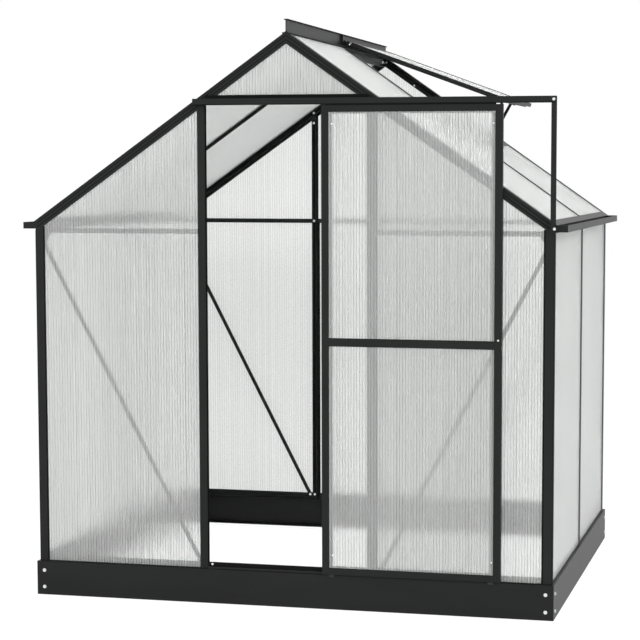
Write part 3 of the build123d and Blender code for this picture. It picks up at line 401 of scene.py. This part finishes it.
# What the bars' boxes don't tell of them
STUD_WIDTH = 28.0 * MM
RIDGE_LIP_X = 13.1 * MM         # outer face of the lip on a cover of the ridge bar
RIDGE_LIP_Z = 2018.4 * MM       # middle of the seal under that lip
RIDGE_HEAD = 7.0 * MM           # half the width of the ridge bar's head
RIDGE_SPINE = 4.0 * MM          # half the width of its spine
RAIL_LIP = 8.0 * MM             # front skin of the door's top and bottom rails stands back by this much

SEAT = 0.2 * MM                 # each strip starts this far inside its bar
SCREW_SEAT = 0.1 * MM
STRIP_END = 1.0 * MM            # a strip ends this far before the end of its bar

# How far strips stand off their seats; the black ones are partly real seals and partly painted shade of
# grooves, recesses and gaps
SHADE_CORD_HEIGHT = 0.6 * MM
BEAD_HEIGHT = 0.8 * MM
SEAL_AND_SHADE_HEIGHT = 1.0 * MM
SILL_SEAL_AND_SHADE_HEIGHT = 1.2 * MM
THRESHOLD_HEIGHT = 1.5 * MM
BRUSH_AND_SHADE_HEIGHT = 2.0 * MM
POST_SEAL_AND_SHADE_HEIGHT = 3.0 * MM

# Black cords that are painted shade of the front rafters' grooves
RAFTER_SHADE_CORDS = ((11.5 * MM, 3.0 * MM), (23.0 * MM, 3.4 * MM))     # distance below the roof surface, and width
SHADE_CORD_START = 0.6 * MM           # from the middle of the gable
SHADE_CORD_END = 6.0 * MM             # from the rafter's lower end
HEADER_END = 3.0 * MM           # left free at both ends of the header
THRESHOLD_TALL = 9.5 * MM
THRESHOLD_TILT = radians(25.0)
DOORWAY_SHADE_LEFT, DOORWAY_SHADE_RIGHT = 5.0 * MM, 12.0 * MM
DOORWAY_SHADE_INSET = 6.0 * MM      # behind the front face
CORNER_LIP_REACH = 6.0 * MM
CORNER_LIP_INSET = 1.2 * MM
STUD_SEAL_REACH = 7.0 * MM
STUD_SEAL_INSET = 6.0 * MM
# Black strips of the ridge: partly real gaskets, partly painted shade under the covers' lips and below the
# head
RIDGE_LIP_SEAL_AND_SHADE = 4.5 * MM
HEAD_SHADE_SEAL = 2.8 * MM
HEAD_SHADE_SEAL_DROP = 1.6 * MM       # below the top of the ridge bar
TRACK_LIP = 3.0 * MM
TRACK_BEAD = 4.0 * MM
TRACK_BEAD_DROP = 0.3 * MM
GLAZING_LIP = 1.8 * MM
GLAZING_INSET = 1.2 * MM        # behind the door's front face

FRAME_SCREW = 9.0 * MM
SILL_SCREW = (17.0 * MM, -0.8 * MM, 140.0 * MM)     # from the left door post, from the front face, height
RAFTER_SCREW = (127.0 * MM, 766.9 * MM, 1903.0 * MM)
RIDGE_SCREW_Y, RIDGE_SCREW_Z = 692.0 * MM, 1997.5 * MM
RIDGE_SCREW_SIZE = (10.0 * MM, 10.0 * MM, 18.0 * MM)
SHEET_SCREW = 6.5 * MM
SHEET_SCREW_HEIGHTS = (1705.0 * MM, 195.0 * MM)
SHEET_SCREW_LEFT, SHEET_SCREW_RIGHT = 13.0 * MM, 8.0 * MM         # from the stiles
SMALL_SCREW = 7.0 * MM
STILE_SCREW_X, STILE_SCREW_Z = 753.0 * MM, 966.0 * MM
VENT_SCREW_X, VENT_SCREW_Z = 32.5 * MM, 2027.5 * MM

front_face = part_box("corner_post_front_left")[0].y
base_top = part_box("base_front")[1].z
doorway_left, doorway_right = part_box("door_post_left")[1].x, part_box("door_post_right")[0].x


def strip(start, end, out, width, height):
    """Place for a strip between two points."""
    along = Vector(end) - Vector(start)
    return start, along, out, (along.length, width, height)


def upright_strip(x, y, low, high, width, height):
    """Place for an upright strip that faces the front."""
    return strip((x, y, low), (x, y, high), FRONT, width, height)


def level_strip(y, z, left, right, width, height):
    """Place for a level strip that faces the front."""
    return strip((left, y, z), (right, y, z), FRONT, width, height)


def screw(place, across, out=FRONT):
    """Place for a screw with its head outwards."""
    return place, RIGHT, out, (across, across, across)


def rafter_shade_cords():
    """Two black cords in the grooves of each front rafter: painted shade of the grooves."""
    places = []
    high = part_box("rafter_front_right")[1]
    y = front_face + SEAT
    for drop, width in RAFTER_SHADE_CORDS:
        top, low = [(x, high.z - drop / cos(ROOF) - x * sin(ROOF) / cos(ROOF))
                    for x in (SHADE_CORD_START, high.x - SHADE_CORD_END)]
        for side in SIDES:
            places.append(strip((side * top[0], y, top[1]), (side * low[0], y, low[1]), FRONT,
                                width, SHADE_CORD_HEIGHT))
    return places


def doorway_seals_and_shade():
    """Black strips over the header, on the track's lower lip, on the sill and down both door posts: painted
    shade of the recessed header, the gap under the track, the unlit sill face and the posts' open channels,
    partly real seals.
    """
    header_low, header_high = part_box("door_header")
    track_low, track_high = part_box("door_track")
    sill_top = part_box("sill_front")[1].z
    y = front_face + SEAT
    above = header_high.z - track_high.z
    threshold = base_top + THRESHOLD_TALL
    tall = sill_top - threshold
    places = [level_strip(y, header_high.z - above / 2, header_low.x + HEADER_END, header_high.x - HEADER_END,
                          width=above - STRIP_END, height=SEAL_AND_SHADE_HEIGHT),
              level_strip(track_low.y + SEAT, track_low.z + TRACK_LIP / 2, track_low.x + STRIP_END,
                          track_high.x - STRIP_END, width=TRACK_LIP, height=BEAD_HEIGHT),
              level_strip(y, threshold + tall / 2, doorway_left, doorway_right,
                          width=tall, height=SILL_SEAL_AND_SHADE_HEIGHT)]
    for x, reach in ((doorway_left + DOORWAY_SHADE_LEFT / 2 - SEAT, DOORWAY_SHADE_LEFT),
                     (doorway_right - DOORWAY_SHADE_RIGHT / 2 + SEAT, DOORWAY_SHADE_RIGHT)):
        places.append(upright_strip(x, front_face + DOORWAY_SHADE_INSET, sill_top, header_low.z,
                                    width=reach, height=BRUSH_AND_SHADE_HEIGHT))
    return places


def post_seals_and_shade():
    """On each front corner post a lip over the sheet's edge and a black strip in its open side, which is
    painted shade of the post's dark side; seals on the rear studs along the sheets' edges, inside."""
    places = []
    low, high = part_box("corner_post_front_right")
    stud_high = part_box("rear_studs")[1]
    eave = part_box("gutter_right")[0].z
    deep = high.y - low.y
    for side in SIDES:
        x = side * (low.x - CORNER_LIP_REACH / 2 + SEAT)
        places.append(upright_strip(x, front_face + CORNER_LIP_INSET, low.z, high.z,
                                    width=CORNER_LIP_REACH, height=SEAL_AND_SHADE_HEIGHT))
        x, y = side * (high.x - SEAT), front_face + deep / 2
        places.append(strip((x, y, low.z), (x, y, eave), (side, 0.0, 0.0),
                            width=deep - STRIP_END, height=POST_SEAL_AND_SHADE_HEIGHT))
    for side in SIDES:
        places.append(upright_strip(side * (stud_high.x - STUD_WIDTH - STUD_SEAL_REACH / 2 + SEAT),
                                    stud_high.y - STUD_SEAL_INSET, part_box("sill_front")[1].z, eave,
                                    width=STUD_SEAL_REACH, height=BRUSH_AND_SHADE_HEIGHT))
    return places


def ridge_seals_and_shade():
    """Black seals under the covers' lips, partly real gaskets and partly painted shade of the gap there, and a
    black strip along the head, painted shade below it.
    """
    places = []
    low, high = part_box("ridge_bar")
    start, end = low.y + STRIP_END, high.y - STRIP_END
    head_z = high.z - HEAD_SHADE_SEAL_DROP
    for side in SIDES:
        outward = (side, 0.0, 0.0)
        x = side * (RIDGE_LIP_X - SEAT)
        places.append(strip((x, start, RIDGE_LIP_Z), (x, end, RIDGE_LIP_Z), outward,
                            width=RIDGE_LIP_SEAL_AND_SHADE, height=SEAL_AND_SHADE_HEIGHT))
        x = side * (RIDGE_HEAD - SEAT)
        places.append(strip((x, start, head_z), (x, end, head_z), outward, HEAD_SHADE_SEAL, BEAD_HEIGHT))
    return places


def frame_beads():
    """Rolled upper edge of the track, and the sloped threshold of the doorway."""
    low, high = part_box("door_track")
    y, z = front_face + SEAT, base_top + THRESHOLD_TALL / 2
    return [level_strip(low.y + SEAT, high.z - TRACK_BEAD / 2 - TRACK_BEAD_DROP, low.x + STRIP_END,
                        high.x - STRIP_END, width=TRACK_BEAD, height=BEAD_HEIGHT),
            strip((doorway_left, y, z), (doorway_right, y, z),
                  (0.0, -cos(THRESHOLD_TILT), sin(THRESHOLD_TILT)), THRESHOLD_TALL, THRESHOLD_HEIGHT)]


def door_seals():
    """Seals round both sheets of the door."""
    top, middle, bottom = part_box("door_rail_top"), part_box("door_rail_middle"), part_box("door_rail_bottom")
    left, right = top[0].x, top[1].x
    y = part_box("door_stile_left")[0].y + GLAZING_INSET
    inward = GLAZING_LIP / 2 - SEAT
    places = []
    for low, high in ((bottom[1].z - RAIL_LIP, middle[0].z), (middle[1].z, top[0].z + RAIL_LIP)):
        places += [upright_strip(x, y, low, high, width=GLAZING_LIP, height=SEAL_AND_SHADE_HEIGHT)
                   for x in (left + inward, right - inward)]
        places += [level_strip(y, z, left, right, width=GLAZING_LIP, height=SEAL_AND_SHADE_HEIGHT)
                   for z in (low + inward, high - inward)]
    return places


def frame_screws():
    """Screw in the doorway's sill, one in the right rear rafter's inner side, and the tall one through the
    ridge bar's rear end."""
    beside, ahead, height = SILL_SCREW
    return [screw((doorway_left + beside, front_face + ahead, height), FRAME_SCREW),
            screw(RAFTER_SCREW, FRAME_SCREW),
            ((RIDGE_SPINE - SEAT, RIDGE_SCREW_Y, RIDGE_SCREW_Z), REAR, RIGHT, RIDGE_SCREW_SIZE)]


def door_screws():
    """Screws near the corners of the door's sheets, and one in the right stile beside the middle rail."""
    sheet_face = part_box("door_panel_upper")[0].y + SCREW_SEAT
    stile_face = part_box("door_stile_left")[0].y + SCREW_SEAT
    low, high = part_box("door_rail_top")
    places = [screw((x, sheet_face, z), SHEET_SCREW) for z in SHEET_SCREW_HEIGHTS
              for x in (low.x + SHEET_SCREW_LEFT, high.x - SHEET_SCREW_RIGHT)]
    return places + [screw((STILE_SCREW_X, stile_face, STILE_SCREW_Z), SMALL_SCREW)]


def vent_screws():
    """Screws in the ends of the vent's hinge rail."""
    low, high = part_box("vent_hinge_rail")
    return [screw((VENT_SCREW_X, low.y + SCREW_SEAT, VENT_SCREW_Z), SMALL_SCREW),
            screw((VENT_SCREW_X, high.y - SCREW_SEAT, VENT_SCREW_Z), SMALL_SCREW, REAR)]


strip_mesh = strip_shape()
screw_mesh = screw_shape()
# Black strips on the frame: partly real seals, partly painted shade of grooves, recesses and gaps
frame_seals = rafter_shade_cords() + doorway_seals_and_shade() + post_seals_and_shade() + ridge_seals_and_shade()
repeated_piece("frame_seals", strip_mesh, frame_seals, rubber_and_shade, "frame")
repeated_piece("frame_beads", strip_mesh, frame_beads(), crosswise, "frame")
repeated_piece("door_seals", strip_mesh, door_seals(), rubber_and_shade, "door")
repeated_piece("frame_screws", screw_mesh, frame_screws(), zinc, "frame")
repeated_piece("door_screws", screw_mesh, door_screws(), zinc, "door")
repeated_piece("vent_screws", screw_mesh, vent_screws(), zinc, "vent")


# Studio and camera

WHITE = (1, 1, 1, 1)
SURROUND_LIGHT = 0.55           # what the surround gives to the greenhouse; seen directly it is plain white
FLOOR_HALF = 30.0
FLOOR_DROP = 0.5 * MM
FLOOR_GLOW_SHARE = 0.8
FLOOR_GLOW = 0.94
FLOOR_GLOW_SEEN = 0.18          # added where the camera sees the floor
LAMPS = (("key", (7.65, -5.95, 6.95), 5.0, 750.0),      # name, place, size, watts
         ("fill", (-5.0, -4.0, 3.0), 4.0, 60.0),
         ("top", (0.0, 1.0, 6.0), 4.0, 150.0))
LAMP_AIM = (0.0, 0.0, 1.0)
CAMERA_PLACE = (1.84685, -7.31094, 1.54388)
CAMERA_TILT = radians(90.0 - 5.34435)
CAMERA_TURN = radians(13.22568)
CAMERA_LENS = 109.037           # for a sensor 36 mm wide
CAMERA_SHIFT = (-0.08319, 0.05029)


def seen_share(tree):
    """Light paths, and 1 for the camera's rays and those that mirror or pass on its view, else 0."""
    paths = add_node(tree, "ShaderNodeLightPath")
    direct = add_node(tree, "ShaderNodeMath",
                      {0: paths.outputs["Is Camera Ray"], 1: paths.outputs["Is Glossy Ray"]},
                      operation="MAXIMUM")
    seen = add_node(tree, "ShaderNodeMath", {0: direct.outputs[0], 1: paths.outputs["Is Transmission Ray"]},
                    operation="MAXIMUM")
    return paths, seen.outputs[0]


def build_surround():
    """White surround that gives softer light than it shows."""
    world = bpy.data.worlds.new("studio")
    bpy.context.scene.world = world
    world.use_nodes = True
    tree = world.node_tree
    tree.nodes.clear()
    soft = add_node(tree, "ShaderNodeBackground", inputs={"Color": WHITE, "Strength": SURROUND_LIGHT})
    white = add_node(tree, "ShaderNodeBackground", inputs={"Color": WHITE, "Strength": 1.0})
    both = add_node(tree, "ShaderNodeMixShader",
                    {0: seen_share(tree)[1], 1: soft.outputs["Background"], 2: white.outputs["Background"]})
    output = add_node(tree, "ShaderNodeOutputWorld", {"Surface": both.outputs["Shader"]})
    output.is_active_output = True


def build_floor():
    """White floor that keeps the shadow."""
    half = FLOOR_HALF
    corners = [(-half, -half, 0), (half, -half, 0), (half, half, 0), (-half, half, 0)]
    mesh = bpy.data.meshes.new("studio_floor")
    mesh.from_pydata(corners, [], [(0, 1, 2, 3)])
    floor = bpy.data.objects.new("studio_floor", mesh)
    floor.location.z = cad_low[2] - FLOOR_DROP
    bpy.context.scene.collection.objects.link(floor)
    material, tree, output = new_material("studio_floor_paint")
    paths, seen = seen_share(tree)
    paint = add_node(tree, "ShaderNodeBsdfDiffuse", inputs={"Color": linear("#F4F4F4")})
    strength = add_node(tree, "ShaderNodeMath", {0: paths.outputs["Is Camera Ray"]},
                        {1: FLOOR_GLOW_SEEN, 2: FLOOR_GLOW}, operation="MULTIPLY_ADD")
    glow = add_node(tree, "ShaderNodeEmission", {"Strength": strength.outputs[0]}, {"Color": WHITE})
    share = add_node(tree, "ShaderNodeMath", {0: seen}, {1: FLOOR_GLOW_SHARE}, operation="MULTIPLY")
    both = add_node(tree, "ShaderNodeMixShader",
                    {0: share.outputs[0], 1: paint.outputs["BSDF"], 2: glow.outputs["Emission"]})
    tree.links.new(both.outputs["Shader"], output.inputs["Surface"])
    mesh.materials.append(material)


def hang_lamps():
    """Soft lamps: the key from the right, a weak fill from the left, and one above."""
    for name, place, size, watts in LAMPS:
        lamp = bpy.data.lights.new(name, "AREA")
        lamp.size = size
        lamp.energy = watts
        holder = bpy.data.objects.new(name, lamp)
        holder.location = place
        aim = Vector(LAMP_AIM) - Vector(place)
        holder.rotation_euler = aim.to_track_quat("-Z", "Y").to_euler()
        bpy.context.scene.collection.objects.link(holder)


def place_camera():
    """The photograph's viewpoint: far off to the right of the door, with a long lens."""
    camera = bpy.data.cameras.new("camera")
    camera.sensor_width = 36.0
    camera.lens = CAMERA_LENS
    camera.shift_x, camera.shift_y = CAMERA_SHIFT
    camera.clip_end = 100.0
    holder = bpy.data.objects.new("camera", camera)
    holder.location = CAMERA_PLACE
    holder.rotation_euler = (CAMERA_TILT, 0.0, CAMERA_TURN)
    bpy.context.scene.collection.objects.link(holder)
    bpy.context.scene.camera = holder


build_surround()
build_floor()
hang_lamps()
place_camera()
bpy.context.scene.view_settings.view_transform = "Standard"
